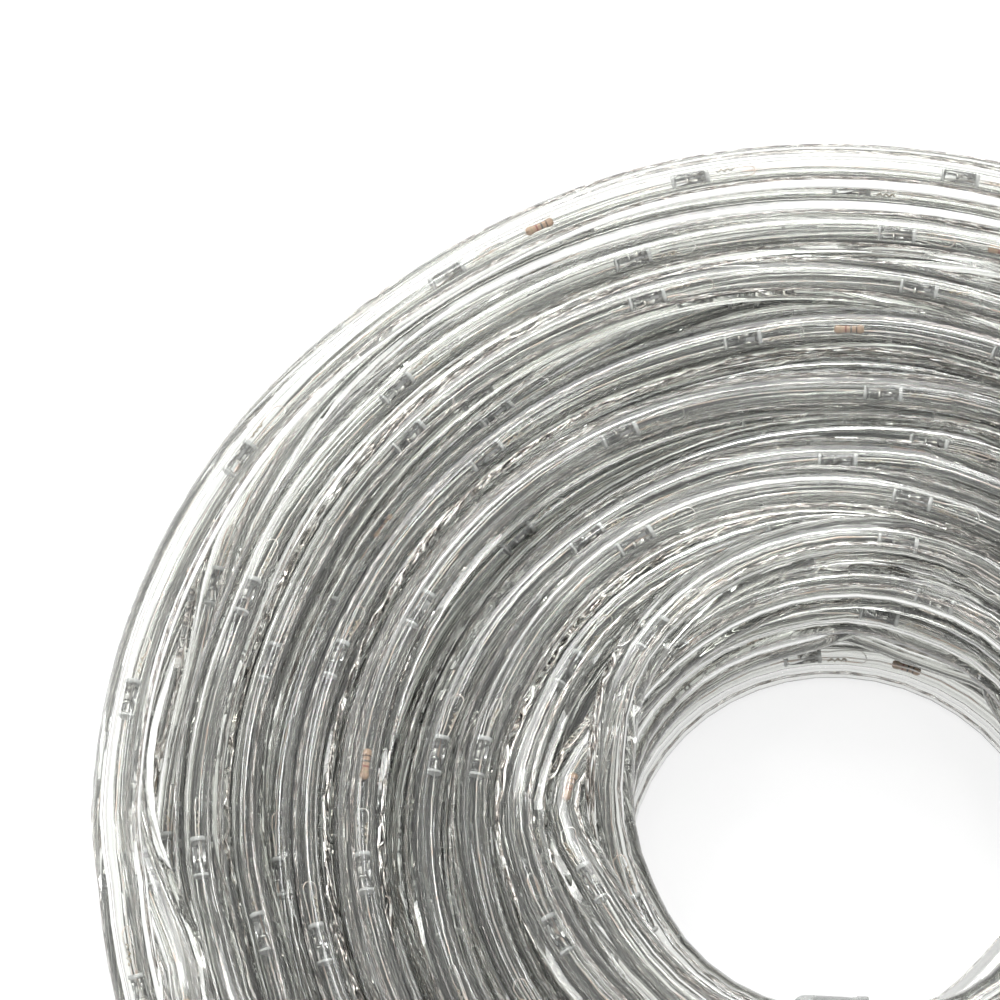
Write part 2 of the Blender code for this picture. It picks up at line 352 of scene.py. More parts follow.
    def stack(self, radius: np.ndarray) -> np.ndarray:
        """Lay the turns one after another, each resting on those under it.

        Args:
            radius: The laid radii, one row for each turn.

        Returns:
            The heights, one row for each turn.
        """
        rope = self.rope
        floor = rope.radius
        height = np.full_like(radius, floor)
        reach = self.lift_reach
        for turn in range(1, self.turns):
            apart = np.abs(radius[:turn] - radius[turn])
            rise = np.sqrt(np.maximum(rope.diameter**2 - apart**2, 0.0))
            carried = np.where(apart < rope.diameter, height[:turn] + rise, floor).max(axis=0)
            line = np.concatenate([height[turn - 1, -reach:], carried])
            arc = np.arange(len(line)) * (math.tau * radius[turn].mean() / self.samples)
            dip = (arc[:, None] - arc[None, :]) ** 2 / (2 * self.lift_bend)
            height[turn] = (line[None, :] - dip).max(axis=1)[reach:]
        return height

    def settle(self, radius: np.ndarray, height: np.ndarray, held: np.ndarray) -> None:
        """Let the turns sink into each other's gaps without overlapping, in place.

        Args:
            radius: The radii, one row for each turn.
            height: The heights, one row for each turn.
            held: True where a sample keeps its place.
        """
        rope = self.rope
        laid, fixed_radius, fixed_height = radius.copy(), radius[held], height[held]
        angles = self.angles().reshape(radius.shape)
        inner = self.bore_radius + rope.radius
        near = self.swell(angles, self.near_lean_azimuth, self.near_lean_turn)
        inner_lean = self.bore_lean + self.near_lean * near
        outer = self.outer_limit(angles)
        kernel = np.array([1.0, 4.0, 6.0, 4.0, 1.0]) / 16.0
        itself = np.arange(self.turns)
        for round_index in range(self.settle_rounds):
            height -= self.settle_sink * (1.0 - round_index / self.settle_rounds)
            radius += self.settle_recall * (laid - radius)
            for values in (radius, height):
                flat = values.reshape(-1)
                padded = np.concatenate([flat[:1], flat[:1], flat, flat[-1:], flat[-1:]])
                flat += self.settle_smooth * (np.convolve(padded, kernel, "valid") - flat)
            for _ in range(2):
                across = radius[:, None, :] - radius[None, :, :]
                up = height[:, None, :] - height[None, :, :]
                apart = np.sqrt(across**2 + up**2) + 1e-9
                push = np.maximum(0.0, rope.diameter - apart) / apart
                push[itself, itself, :] = 0.0
                radius += self.settle_push * (push * across).sum(axis=1)
                height += self.settle_push * (push * up).sum(axis=1)
                share = np.clip((height - rope.radius) / (self.height - rope.diameter), 0.0, 1.0)
                np.clip(radius, inner - inner_lean * share, outer - self.coil_lean * share, out=radius)
                np.clip(height, rope.radius, self.ceiling, out=height)
                radius[held], height[held] = fixed_radius, fixed_height

    def centreline(self) -> np.ndarray:
        """Points of the whole rope's centre line, from its inner cut end to its outer one."""
        rng = np.random.default_rng(self.seed)
        angles = self.angles()
        radius = self.laid_radius(rng)
        inner_end = angles < self.inner_tail_end
        tail_radius, tail_height = self.inner_tail(angles)
        radius[inner_end] = tail_radius[inner_end]
        outer_end = angles > self.drop_start
        shape = (self.turns, self.samples)
        radius = radius.reshape(shape)
        height = self.stack(radius)
        held = (inner_end | outer_end).reshape(shape)
        flat = height.reshape(-1)
        flat[inner_end] = tail_height[inner_end]
        top = min(flat[np.argmax(outer_end) - 1], self.ceiling)
        flat[outer_end] = self.outer_drop(angles[outer_end], top)
        rise = self.height - self.rope.diameter
        lean = np.clip((flat[outer_end] - self.rope.radius) / rise, 0.0, 1.0)
        radius.reshape(-1)[outer_end] = self.coil_radius - self.rope.radius - self.coil_lean * lean
        self.settle(radius, height, held)
        flat_radius = radius.reshape(-1)
        wound = np.stack(
            [flat_radius * np.cos(angles), flat_radius * np.sin(angles), height.reshape(-1)], axis=1
        )
        return np.vstack([wound, self.outer_tail()])


@dataclass
class RopeLine:
    """The rope's centre line at even steps, with a frame of axes at every point."""

    winding: Winding
    step: float = 0.0095
    twist_seed: int = 11
    slow_twist: float = math.radians(75)
    slow_run: float = 0.9
    quick_twist: float = math.radians(20)
    quick_run: float = 0.25
    points: np.ndarray = field(init=False)
    tangents: np.ndarray = field(init=False)
    sides: np.ndarray = field(init=False)
    ups: np.ndarray = field(init=False)
    twist: np.ndarray = field(init=False)

    def __post_init__(self) -> None:
        """Wind the rope and work out its axes."""
        self.points = through(self.winding.centreline(), self.step)
        self.tangents = unit(np.gradient(self.points, axis=0))
        upright = np.array([0.0, 0.0, 1.0])
        self.sides = unit(np.cross(upright, self.tangents))
        self.ups = np.cross(self.tangents, self.sides)
        rng = np.random.default_rng(self.twist_seed)
        slow = smooth_noise(rng, len(self.points), self.slow_run / self.step)
        quick = smooth_noise(rng, len(self.points), self.quick_run / self.step)
        self.twist = self.slow_twist * slow + self.quick_twist * quick

    @property
    def distances(self) -> np.ndarray:
        """Distance of each point from the rope's inner end."""
        gaps = np.linalg.norm(np.diff(self.points, axis=0), axis=1)
        return np.concatenate([[0.0], np.cumsum(gaps)])

    @property
    def length(self) -> float:
        """Length of the rope."""
        return float(self.distances[-1])

    def at(self, distances: np.ndarray, values: np.ndarray) -> np.ndarray:
        """Values of the line read at other distances.

        Args:
            distances: Distances from the inner end.
            values: One row or value for each point of the line.

        Returns:
            The values between the points.
        """
        own = self.distances
        if values.ndim == 1:
            return np.interp(distances, own, values)
        return np.stack([np.interp(distances, own, values[:, axis]) for axis in range(3)], axis=1)

    def offset(self, angle: np.ndarray, reach: np.ndarray) -> np.ndarray:
        """The line moved sideways within the rope's section.

        Args:
            angle: Direction in the section at each point, from its side axis towards its up axis.
            reach: How far at each point.

        Returns:
            The moved points.
        """
        across = self.sides * np.cos(angle)[:, None] + self.ups * np.sin(angle)[:, None]
        return self.points + across * np.reshape(reach, (-1, 1))


class NodeGraph:
    """The nodes and links of any node tree."""

    def __init__(self, tree: bpy.types.NodeTree) -> None:
        """Take up a tree.

        Args:
            tree: The tree.
        """
        self.nodes = tree.nodes
        self.links = tree.links

    def node(self, kind: str, settings: dict | None = None, **inputs: object) -> bpy.types.Node:
        """Add a node and connect or set its inputs.

        Args:
            kind: The node's type.
            settings: Properties to set on it first.
            **inputs: Input names with underscores for spaces, each with a socket or a value.

        Returns:
            The node.
        """
        made = self.nodes.new(kind)
        for name, value in (settings or {}).items():
            setattr(made, name, value)
        for name, value in inputs.items():
            label = name.replace("_", " ")
            socket = next(s for s in made.inputs if s.name == label and s.enabled)
            if isinstance(value, bpy.types.NodeSocket):
                self.links.new(value, socket)
            else:
                socket.default_value = value
        return made


class NodeTree(NodeGraph):
    """A Geometry Nodes tree with named inputs."""

    def __init__(self, name: str) -> None:
        """Start an empty tree with a guide going in and a shape coming out.

        Args:
            name: The tree's name.
        """
        self.tree = bpy.data.node_groups.new(name, "GeometryNodeTree")
        super().__init__(self.tree)
        self.tree.interface.new_socket("Guide", in_out="INPUT", socket_type="NodeSocketGeometry")
        self.tree.interface.new_socket("Shape", in_out="OUTPUT", socket_type="NodeSocketGeometry")
        self.inputs = self.node("NodeGroupInput")
        self.outputs = self.node("NodeGroupOutput")
        self.identifiers: dict[str, str] = {}

    def named_input(self, name: str, kind: str) -> bpy.types.NodeSocket:
        """Add an input to the tree.

        Args:
            name: The input's name.
            kind: Its socket type, such as Float or Object.

        Returns:
            The socket that carries it inside the tree.
        """
        item = self.tree.interface.new_socket(name, in_out="INPUT", socket_type=f"NodeSocket{kind}")
        self.identifiers[name] = item.identifier
        return self.inputs.outputs[name]

    def finish(self, shape: bpy.types.NodeSocket, rims: bool = False) -> None:
        """End the tree: realize the instances, set the materials and put the shape out.

        Args:
            shape: The socket with the shape.
            rims: Whether faces marked as rims take a finish of their own.
        """
        material = self.named_input("Material", "Material")
        real = self.node("GeometryNodeRealizeInstances", Geometry=shape)
        smooth = self.node("GeometryNodeSetShadeSmooth", Geometry=real.outputs[0])
        dressed = self.node("GeometryNodeSetMaterial", Geometry=smooth.outputs[0], Material=material)
        if rims:
            rim_material = self.named_input("Rim Material", "Material")
            mark = self.node("GeometryNodeInputNamedAttribute", {"data_type": "BOOLEAN"}, Name="rim")
            dressed = self.node(
                "GeometryNodeSetMaterial",
                Geometry=dressed.outputs[0],
                Selection=mark.outputs["Attribute"],
                Material=rim_material,
            )
        self.links.new(dressed.outputs[0], self.outputs.inputs["Shape"])

    def grow(self, name: str, guide: bpy.types.Mesh, values: dict[str, object]) -> bpy.types.Object:
        """Run the tree on a guide mesh and keep the result as a plain mesh object.

        Args:
            name: The new object's name.
            guide: The mesh that the tree reads.
            values: Value of each named input.

        Returns:
            The object, with no modifier left on it.
        """
        holder = stand(name + "_guide", guide)
        modifier = holder.modifiers.new(self.tree.name, "NODES")
        modifier.node_group = self.tree
        for label, value in values.items():
            modifier[self.identifiers[label]] = value
        bpy.context.view_layer.update()
        graph = bpy.context.evaluated_depsgraph_get()
        mesh = bpy.data.meshes.new_from_object(holder.evaluated_get(graph))
        bpy.data.objects.remove(holder, do_unlink=True)
        mesh.name = name
        return stand(name, mesh)


class SweepTree(NodeTree):
    """Sweeps a round section along every polyline of the guide, and notes where each face is."""

    def __init__(self, name: str) -> None:
        """Build the tree.

        Args:
            name: The tree's name.
        """
        super().__init__(name)
        radius = self.named_input("Radius", "Float")
        sides = self.named_input("Sides", "Int")
        curve = self.node("GeometryNodeMeshToCurve", Mesh=self.inputs.outputs["Guide"])
        upright = self.node("GeometryNodeSetCurveNormal", {"mode": "Z_UP"}, Curve=curve.outputs[0])
        along = self.node("GeometryNodeSplineParameter")
        noted = self.node(
            "GeometryNodeStoreNamedAttribute",
            {"data_type": "FLOAT", "domain": "POINT"},
            Geometry=upright.outputs[0],
            Name="along",
            Value=along.outputs["Length"],
        )
        ring = self.node("GeometryNodeCurvePrimitiveCircle", Resolution=sides, Radius=radius)
        place = self.node("GeometryNodeInputPosition")
        outward = self.node("ShaderNodeVectorMath", {"operation": "NORMALIZE"}, Vector=place.outputs[0])
        ring_noted = self.node(
            "GeometryNodeStoreNamedAttribute",
            {"data_type": "FLOAT_VECTOR", "domain": "POINT"},
            Geometry=ring.outputs[0],
            Name="section",
            Value=outward.outputs[0],
        )
        swept = self.node(
            "GeometryNodeCurveToMesh",
            Curve=noted.outputs[0],
            Profile_Curve=ring_noted.outputs[0],
            Fill_Caps=True,
        )
        self.finish(swept.outputs[0])


class PlantTree(NodeTree):
    """Puts a copy of one piece at every point of the guide, turned by the guide's attributes."""

    def __init__(self, name: str, rims: bool = False) -> None:
        """Build the tree.

        Args:
            name: The tree's name.
            rims: Whether faces marked as rims take a finish of their own.
        """
        super().__init__(name)
        piece = self.named_input("Piece", "Object")
        heading = self.node("GeometryNodeInputNamedAttribute", {"data_type": "FLOAT_VECTOR"}, Name="heading")
        side = self.node("GeometryNodeInputNamedAttribute", {"data_type": "FLOAT_VECTOR"}, Name="side")
        axes = self.node(
            "FunctionNodeAxesToRotation",
            {"primary_axis": "Z", "secondary_axis": "X"},
            Primary_Axis=heading.outputs["Attribute"],
            Secondary_Axis=side.outputs["Attribute"],
        )
        copy = self.node("GeometryNodeObjectInfo", {"transform_space": "ORIGINAL"}, Object=piece)
        planted = self.node(
            "GeometryNodeInstanceOnPoints",
            Points=self.inputs.outputs["Guide"],
            Instance=copy.outputs["Geometry"],
            Rotation=axes.outputs[0],
        )
        self.finish(planted.outputs[0], rims)


def guide_lines(name: str, lines: list[np.ndarray]) -> bpy.types.Mesh:
    """A mesh of bare edges along polylines.

    Args:
        name: The mesh's name.
        lines: The points of each line.

    Returns:
        The mesh.
    """
    mesh = bpy.data.meshes.new(name)
    edges, first = [], 0
    for line in lines:
        run = np.arange(first, first + len(line) - 1)
        edges.append(np.stack([run, run + 1], axis=1))
        first += len(line)
    mesh.from_pydata(np.vstack(lines).tolist(), np.vstack(edges).tolist(), [])
    return mesh


def guide_points(name: str, places: np.ndarray, vectors: dict[str, np.ndarray]) -> bpy.types.Mesh:
    """A mesh of bare points with vector attributes.

    Args:
        name: The mesh's name.
        places: The points.
        vectors: The attributes by name, one vector for each point.

    Returns:
        The mesh.
    """
    mesh = bpy.data.meshes.new(name)
    mesh.from_pydata(places.tolist(), [], [])
    for label, rows in vectors.items():
        attribute = mesh.attributes.new(label, "FLOAT_VECTOR", "POINT")
        attribute.data.foreach_set("vector", np.ascontiguousarray(rows, np.float32).reshape(-1))
    return mesh


def turned_mesh(name: str, profile: list[tuple[float, float]], sides: int) -> bpy.types.Mesh:
    """A closed turned shape about the Z axis, with its share of height noted as an attribute.

    Args:
        name: The mesh's name.
        profile: Radius and height of each point, from one pole to the other.
        sides: Sides of its section.

    Returns:
        The mesh.
    """
    shape = bmesh.new()
    rings = []
    for radius, height in profile:
        count = 1 if radius < 1e-9 else sides
        turns = [math.tau * index / sides for index in range(count)]
        ring = [(radius * math.cos(turn), radius * math.sin(turn), height) for turn in turns]
        rings.append([shape.verts.new(place) for place in ring])
    for low, high in zip(rings, rings[1:]):
        for index in range(sides):
            after = (index + 1) % sides
            corners = [low[place % len(low)] for place in (index, after)]
            corners += [high[place % len(high)] for place in (after, index)]
            shape.faces.new(list(dict.fromkeys(corners)))
    bmesh.ops.recalc_face_normals(shape, faces=shape.faces)
    mesh = bpy.data.meshes.new(name)
    shape.to_mesh(mesh)
    shape.free()
    heights = np.array([vertex.co.z for vertex in mesh.vertices])
    share = (heights - heights.min()) / (heights.max() - heights.min())
    mesh.attributes.new("share", "FLOAT", "POINT").data.foreach_set("value", share.astype(np.float32))
    return mesh


class Shader(NodeGraph):
    """A material's node tree, built round one Principled shader."""

    def __init__(self, name: str) -> None:
        """Start a material.

        Args:
            name: The material's name.
        """
        self.material = bpy.data.materials.new(name)
        self.material.use_nodes = True
        super().__init__(self.material.node_tree)
        self.surface = self.nodes["Principled BSDF"]

    def set(self, **values: object) -> "Shader":
        """Set the shader's own sockets.

        Args:
            **values: Socket names with underscores for spaces, each with its value.

        Returns:
            The shader itself.
        """
        for name, value in values.items():
            self.surface.inputs[name.replace("_", " ")].default_value = value
        return self

    def feed(self, name: str, socket: bpy.types.NodeSocket) -> None:
        """Connect a socket to one of the shader's inputs.

        Args:
            name: The input's name.
            socket: What goes into it.
        """
        self.links.new(socket, self.surface.inputs[name])

    def attribute(self, name: str) -> bpy.types.NodeSocket:
        """A number that the piece carries at each point.

        Args:
            name: The attribute's name.

        Returns:
            The socket with the number.
        """
        return self.node("ShaderNodeAttribute", {"attribute_name": name}).outputs["Fac"]

    def on_section(self, across: float, along: float) -> bpy.types.NodeSocket:
        """Coordinates on a swept piece that go round its section without a seam.

        Args:
            across: Scale round the section.
            along: Scale for each metre along the piece.

        Returns:
            The socket with the coordinates.
        """
        section = self.node("ShaderNodeAttribute", {"attribute_name": "section"})
        parts = self.node("ShaderNodeSeparateXYZ", Vector=section.outputs["Vector"])
        scaled = []
        sources = (parts.outputs[0], parts.outputs[1], self.attribute("along"))
        for value, scale in zip(sources, (across, across, along)):
            times = self.node("ShaderNodeMath", {"operation": "MULTIPLY"})
            self.links.new(value, times.inputs[0])
            times.inputs[1].default_value = scale
            scaled.append(times.outputs[0])
        return self.node("ShaderNodeCombineXYZ", X=scaled[0], Y=scaled[1], Z=scaled[2]).outputs[0]

    def ramp(self, value: bpy.types.NodeSocket, stops: list[tuple[float, tuple]], mode: str = "LINEAR"):
        """A colour ramp.

        Args:
            value: The number that picks the colour.
            stops: Position and colour of each stop.
            mode: How colours blend between stops.

        Returns:
            The socket with the colour.
        """
        made = self.node("ShaderNodeValToRGB", Fac=value)
        made.color_ramp.interpolation = mode
        while len(made.color_ramp.elements) < len(stops):
            made.color_ramp.elements.new(0.5)
        for element, (place, colour) in zip(made.color_ramp.elements, stops):
            element.position = place
            element.color = (*colour, 1.0)
        return made.outputs["Color"]

    def noise(self, scale: float, detail: float = 3.0, vector: bpy.types.NodeSocket | None = None):
        """A noise texture on the piece's own coordinates.

        Args:
            scale: The texture's scale.
            detail: The texture's detail.
            vector: Coordinates, if not the object's own.

        Returns:
            The socket with the noise's value.
        """
        if vector is None:
            vector = self.node("ShaderNodeTexCoord").outputs["Object"]
        made = self.node("ShaderNodeTexNoise", Vector=vector, Scale=scale, Detail=detail)
        return made.outputs["Fac"]

    def roughen(self, value: bpy.types.NodeSocket, low: float, high: float) -> None:
        """Make the surface rougher where a number is higher.

        Args:
            value: The number, from 0 to 1.
            low: Roughness where it is 0.
            high: Roughness where it is 1.
        """
        spread = self.node("ShaderNodeMapRange", Value=value)
        spread.inputs["To Min"].default_value = low
        spread.inputs["To Max"].default_value = high
        self.feed("Roughness", spread.outputs[0])

    def bump(self, height: bpy.types.NodeSocket, strength: float, distance: float) -> None:
        """Raise the surface by a height in its normals.

        Args:
            height: The socket with the height.
            strength: How much of it shows.
            distance: Real height of one unit, in metres.
        """
        made = self.node("ShaderNodeBump", Height=height, Strength=strength, Distance=distance)
        self.feed("Normal", made.outputs["Normal"])


@dataclass(frozen=True)
class ClearPvc:
    """Clear PVC, faintly green, with soft draw lines along the rope."""

    tint: tuple = (0.943, 0.950, 0.930)
    ior: float = 1.45
    lines_across: float = 5.5
    lines_along: float = 1.6
    line_depth: float = 0.15
    clearest: tuple = (0.985, 0.990, 0.970)

    def material(self) -> bpy.types.Material:
        """Build the finish."""
        shader = Shader("clear_pvc_extrusion")
        shader.set(Roughness=0.0, Transmission_Weight=1.0, IOR=self.ior)
        lines = shader.noise(1.0, 1.0, shader.on_section(self.lines_across, self.lines_along))
        low = tuple(c * (1.0 - self.line_depth) for c in self.tint)
        stops = [(0.38, low), (0.48, self.tint), (0.60, self.clearest)]
        shader.feed("Base Color", shader.ramp(lines, stops))
        return shader.material


@dataclass(frozen=True)
class LampEpoxy:
    """Water-clear epoxy of the lamps."""

    name: str = "lamp_epoxy"
    tint: tuple = (0.97, 0.98, 0.98)
    ior: float = 1.55
    # Below 1 gives a whiter, milky copy, used as painted highlight on the lamps' flanges and lens rims.
    clearness: float = 1.0
    mottle_scale: float = 900.0
    mottle_depth: float = 0.08

    def material(self) -> bpy.types.Material:
        """Build the finish."""
        shader = Shader(self.name)
        shader.set(Transmission_Weight=self.clearness, IOR=self.ior, Roughness=0.0)
        mottle = shader.noise(self.mottle_scale, 2.0)
        low = tuple(c * (1.0 - self.mottle_depth) for c in self.tint)
        shader.feed("Base Color", shader.ramp(mottle, [(0.3, low), (0.7, self.tint)]))
        shader.bump(mottle, 0.25, 0.00004)
        return shader.material


@dataclass(frozen=True)
class BrightMetal:
    """Tinned copper, with the copper showing through in places."""

    name: str = "tinned_copper_wire"
    tin: tuple = (0.82, 0.80, 0.78)
    copper: tuple = (0.72, 0.56, 0.48)
    roughness: float = 0.28
    scale: float = 160.0

    def material(self) -> bpy.types.Material:
        """Build the finish."""
        shader = Shader(self.name)
        shader.set(Metallic=1.0)
        worn = shader.noise(self.scale, 4.0)
        shader.feed("Base Color", shader.ramp(worn, [(0.46, self.tin), (0.68, self.copper)]))
        shader.roughen(worn, self.roughness * 0.7, self.roughness * 1.5)
        shader.bump(worn, 0.3, 0.00003)
        return shader.material


@dataclass(frozen=True)
class StrandedWire:
    """Fine tinned strands, with copper showing in places, and dark patches between bright ones that paint
    the strands' glints.
    """

    tin: tuple = (0.96, 0.95, 0.93)
    copper: tuple = (0.60, 0.54, 0.50)
    painted_dark_between_glints: tuple = (0.20, 0.19, 0.18)
    patches_across: float = 0.6
    patches_along: float = 340.0

    def material(self) -> bpy.types.Material:
        """Build the finish."""
        shader = Shader("stranded_bus_wire")
        shader.set(Metallic=1.0, Roughness=0.0)
        worn = shader.noise(1.0, 3.0, shader.on_section(self.patches_across, self.patches_along))
        # Near-black patches against bright tin are painted glints along the strands; the copper between them
        # is wear.
        stops = [(0.38, self.painted_dark_between_glints), (0.48, self.copper), (0.56, self.tin)]
        shader.feed("Base Color", shader.ramp(worn, stops))
        shader.bump(worn, 0.6, 0.0001)
        return shader.material


@dataclass(frozen=True)
class ResistorLacquer:
    """Tan lacquer with four colour bands across the body."""

    tan: tuple = (0.62, 0.42, 0.29)
    dark_brown: tuple = (0.16, 0.09, 0.06)
    dark_grey: tuple = (0.13, 0.12, 0.12)
    dark_red: tuple = (0.36, 0.10, 0.08)
    gold: tuple = (0.50, 0.38, 0.24)

    def material(self) -> bpy.types.Material:
        """Build the finish."""
        shader = Shader("resistor_lacquer")
        bands = [
            (0.00, self.tan),
            (0.22, self.dark_brown),
            (0.27, self.tan),
            (0.40, self.dark_grey),
            (0.46, self.tan),
            (0.58, self.dark_red),
            (0.64, self.tan),
            (0.78, self.gold),
            (0.83, self.tan),
        ]
        striped = shader.ramp(shader.attribute("share"), bands, "CONSTANT")
        speckle = shader.noise(1500.0, 3.0)
        shade = shader.ramp(speckle, [(0.3, (0.86, 0.84, 0.82)), (0.7, (1.0, 1.0, 1.0))])
        mixed = shader.node("ShaderNodeMix", {"data_type": "RGBA", "blend_type": "MULTIPLY"})
        mixed.inputs[0].default_value = 1.0
        shader.links.new(striped, mixed.inputs[6])
        shader.links.new(shade, mixed.inputs[7])
        shader.feed("Base Color", mixed.outputs[2])
        shader.set(Roughness=0.42, Coat_Weight=0.3)
        shader.bump(speckle, 0.2, 0.00003)
        return shader.material


@dataclass(frozen=True)
class CapPvc:
    """Milky moulded PVC of the end caps."""

    tint: tuple = (0.84, 0.86, 0.84)
    cloud_scale: float = 220.0
    smoothest: float = 0.18
    roughest: float = 0.34

    def material(self) -> bpy.types.Material:
        """Build the finish."""
        shader = Shader("cap_pvc_moulding")
        shader.set(Transmission_Weight=0.75, IOR=1.5)
        cloud = shader.noise(self.cloud_scale, 4.0)
        low = tuple(c * 0.9 for c in self.tint)
        shader.feed("Base Color", shader.ramp(cloud, [(0.35, low), (0.65, self.tint)]))
        shader.roughen(cloud, self.smoothest, self.roughest)
        shader.bump(cloud, 0.25, 0.00005)
        return shader.material


@dataclass(frozen=True)
class PaleFloor:
    """The plain pale floor of the studio."""

    shade: float = 0.32
    glow: float = 0.76

    def material(self) -> bpy.types.Material:
        """Build the finish."""
        shader = Shader("pale_floor")
        shader.set(Base_Color=(self.shade, self.shade, self.shade, 1.0), Roughness=0.9)
        shader.set(Emission_Color=(1.0, 1.0, 1.0, 1.0), Emission_Strength=self.glow)
        return shader.material


def give(piece: bpy.types.Object, slot: Slot, *nodes: str) -> bpy.types.Object:
    """Put a finished piece on its body and hide the CAD nodes that it stands for.

    Args:
        piece: The finished piece.
        slot: The record's slot that its finish comes from; not used.
        *nodes: CAD nodes that it replaces.

    Returns:
        The piece.
    """
    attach(piece, BODY)
    if nodes:
        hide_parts(*nodes)
    piece.data.calc_loop_triangles()
    LOG.info("%s: %d triangles", piece.name, len(piece.data.loop_triangles))
    return piece


@dataclass
class Jacket:
    """The rope's clear jacket, one tube from end to end round the core that the lamps lie in."""

    rope: RopeSize
    line: RopeLine
    sides: int = 13
    core_sides: int = 7

    def build(self) -> bpy.types.Object:
        """Sweep the jacket and its core, join and dress them."""
        finish = ClearPvc().material()
        sweep = SweepTree("sweep_jacket")
        guide = guide_lines("jacket_line", [self.line.points])
        values = {"Radius": self.rope.radius, "Sides": self.sides, "Material": finish}
        jacket = sweep.grow("rope_jacket", guide, values)
        guide = guide_lines("core_line", [self.line.points[1:-1]])
        values = {"Radius": self.rope.core_diameter / 2, "Sides": self.core_sides, "Material": finish}
        core = sweep.grow("rope_core", guide, values)
        joined = bmesh.new()
        joined.from_mesh(core.data)
        bmesh.ops.reverse_faces(joined, faces=joined.faces)
        joined.from_mesh(jacket.data)
        joined.to_mesh(jacket.data)
        joined.free()
        bpy.data.objects.remove(core, do_unlink=True)
        return give(jacket, Slot.PVC, "rope_coil", "outer_tail", "inner_tail")


@dataclass
class BusWire:
    """One stranded bus wire in the rope's wall."""

    rope: RopeSize
    line: RopeLine
    bundle: Bundle
    strands: int = 4
    strand_radius: float = 0.00015
    lay_radius: float = 0.00036
    lay_length: float = 0.055
    waver: float = 0.00012
    strand_sides: int = 3
    seed: int = 21

    def paths(self) -> list[np.ndarray]:
        """The paths of the wire's strands, laid round each other in the wall."""
        line, rng = self.line, np.random.default_rng(self.seed + self.bundle.value)
        turn = 0.0 if self.bundle is Bundle.LEFT else math.pi
        count = len(line.points)
        middle = line.twist + turn + 0.08 * smooth_noise(rng, count, 6.0)
        lay = line.distances / self.lay_length * math.tau + 2.0 * smooth_noise(rng, count, 20.0)
        paths = []
        for index in range(self.strands):
            spin = lay + math.tau * index / self.strands
            loose = self.lay_radius + self.waver * smooth_noise(rng, count, 3.0)
            angle = middle + loose * np.cos(spin) / self.rope.bus_offset
            paths.append(line.offset(angle, self.rope.bus_offset + loose * np.sin(spin)))
        return paths

    def build(self, finish: bpy.types.Material) -> bpy.types.Object:
        """Sweep the wire.

        Args:
            finish: The wire's material.

        Returns:
            The bus wire.
        """
        number = 1 if self.bundle is Bundle.LEFT else 2
        guide = guide_lines("wire_line", self.paths())
        values = {"Radius": self.strand_radius, "Sides": self.strand_sides, "Material": finish}
        wire = SweepTree("sweep_bus_wire").grow(f"bus_wire_{number}", guide, values)
        return give(wire, Slot.COPPER, f"outer_bus_wire_{number}", f"inner_bus_wire_{number}")


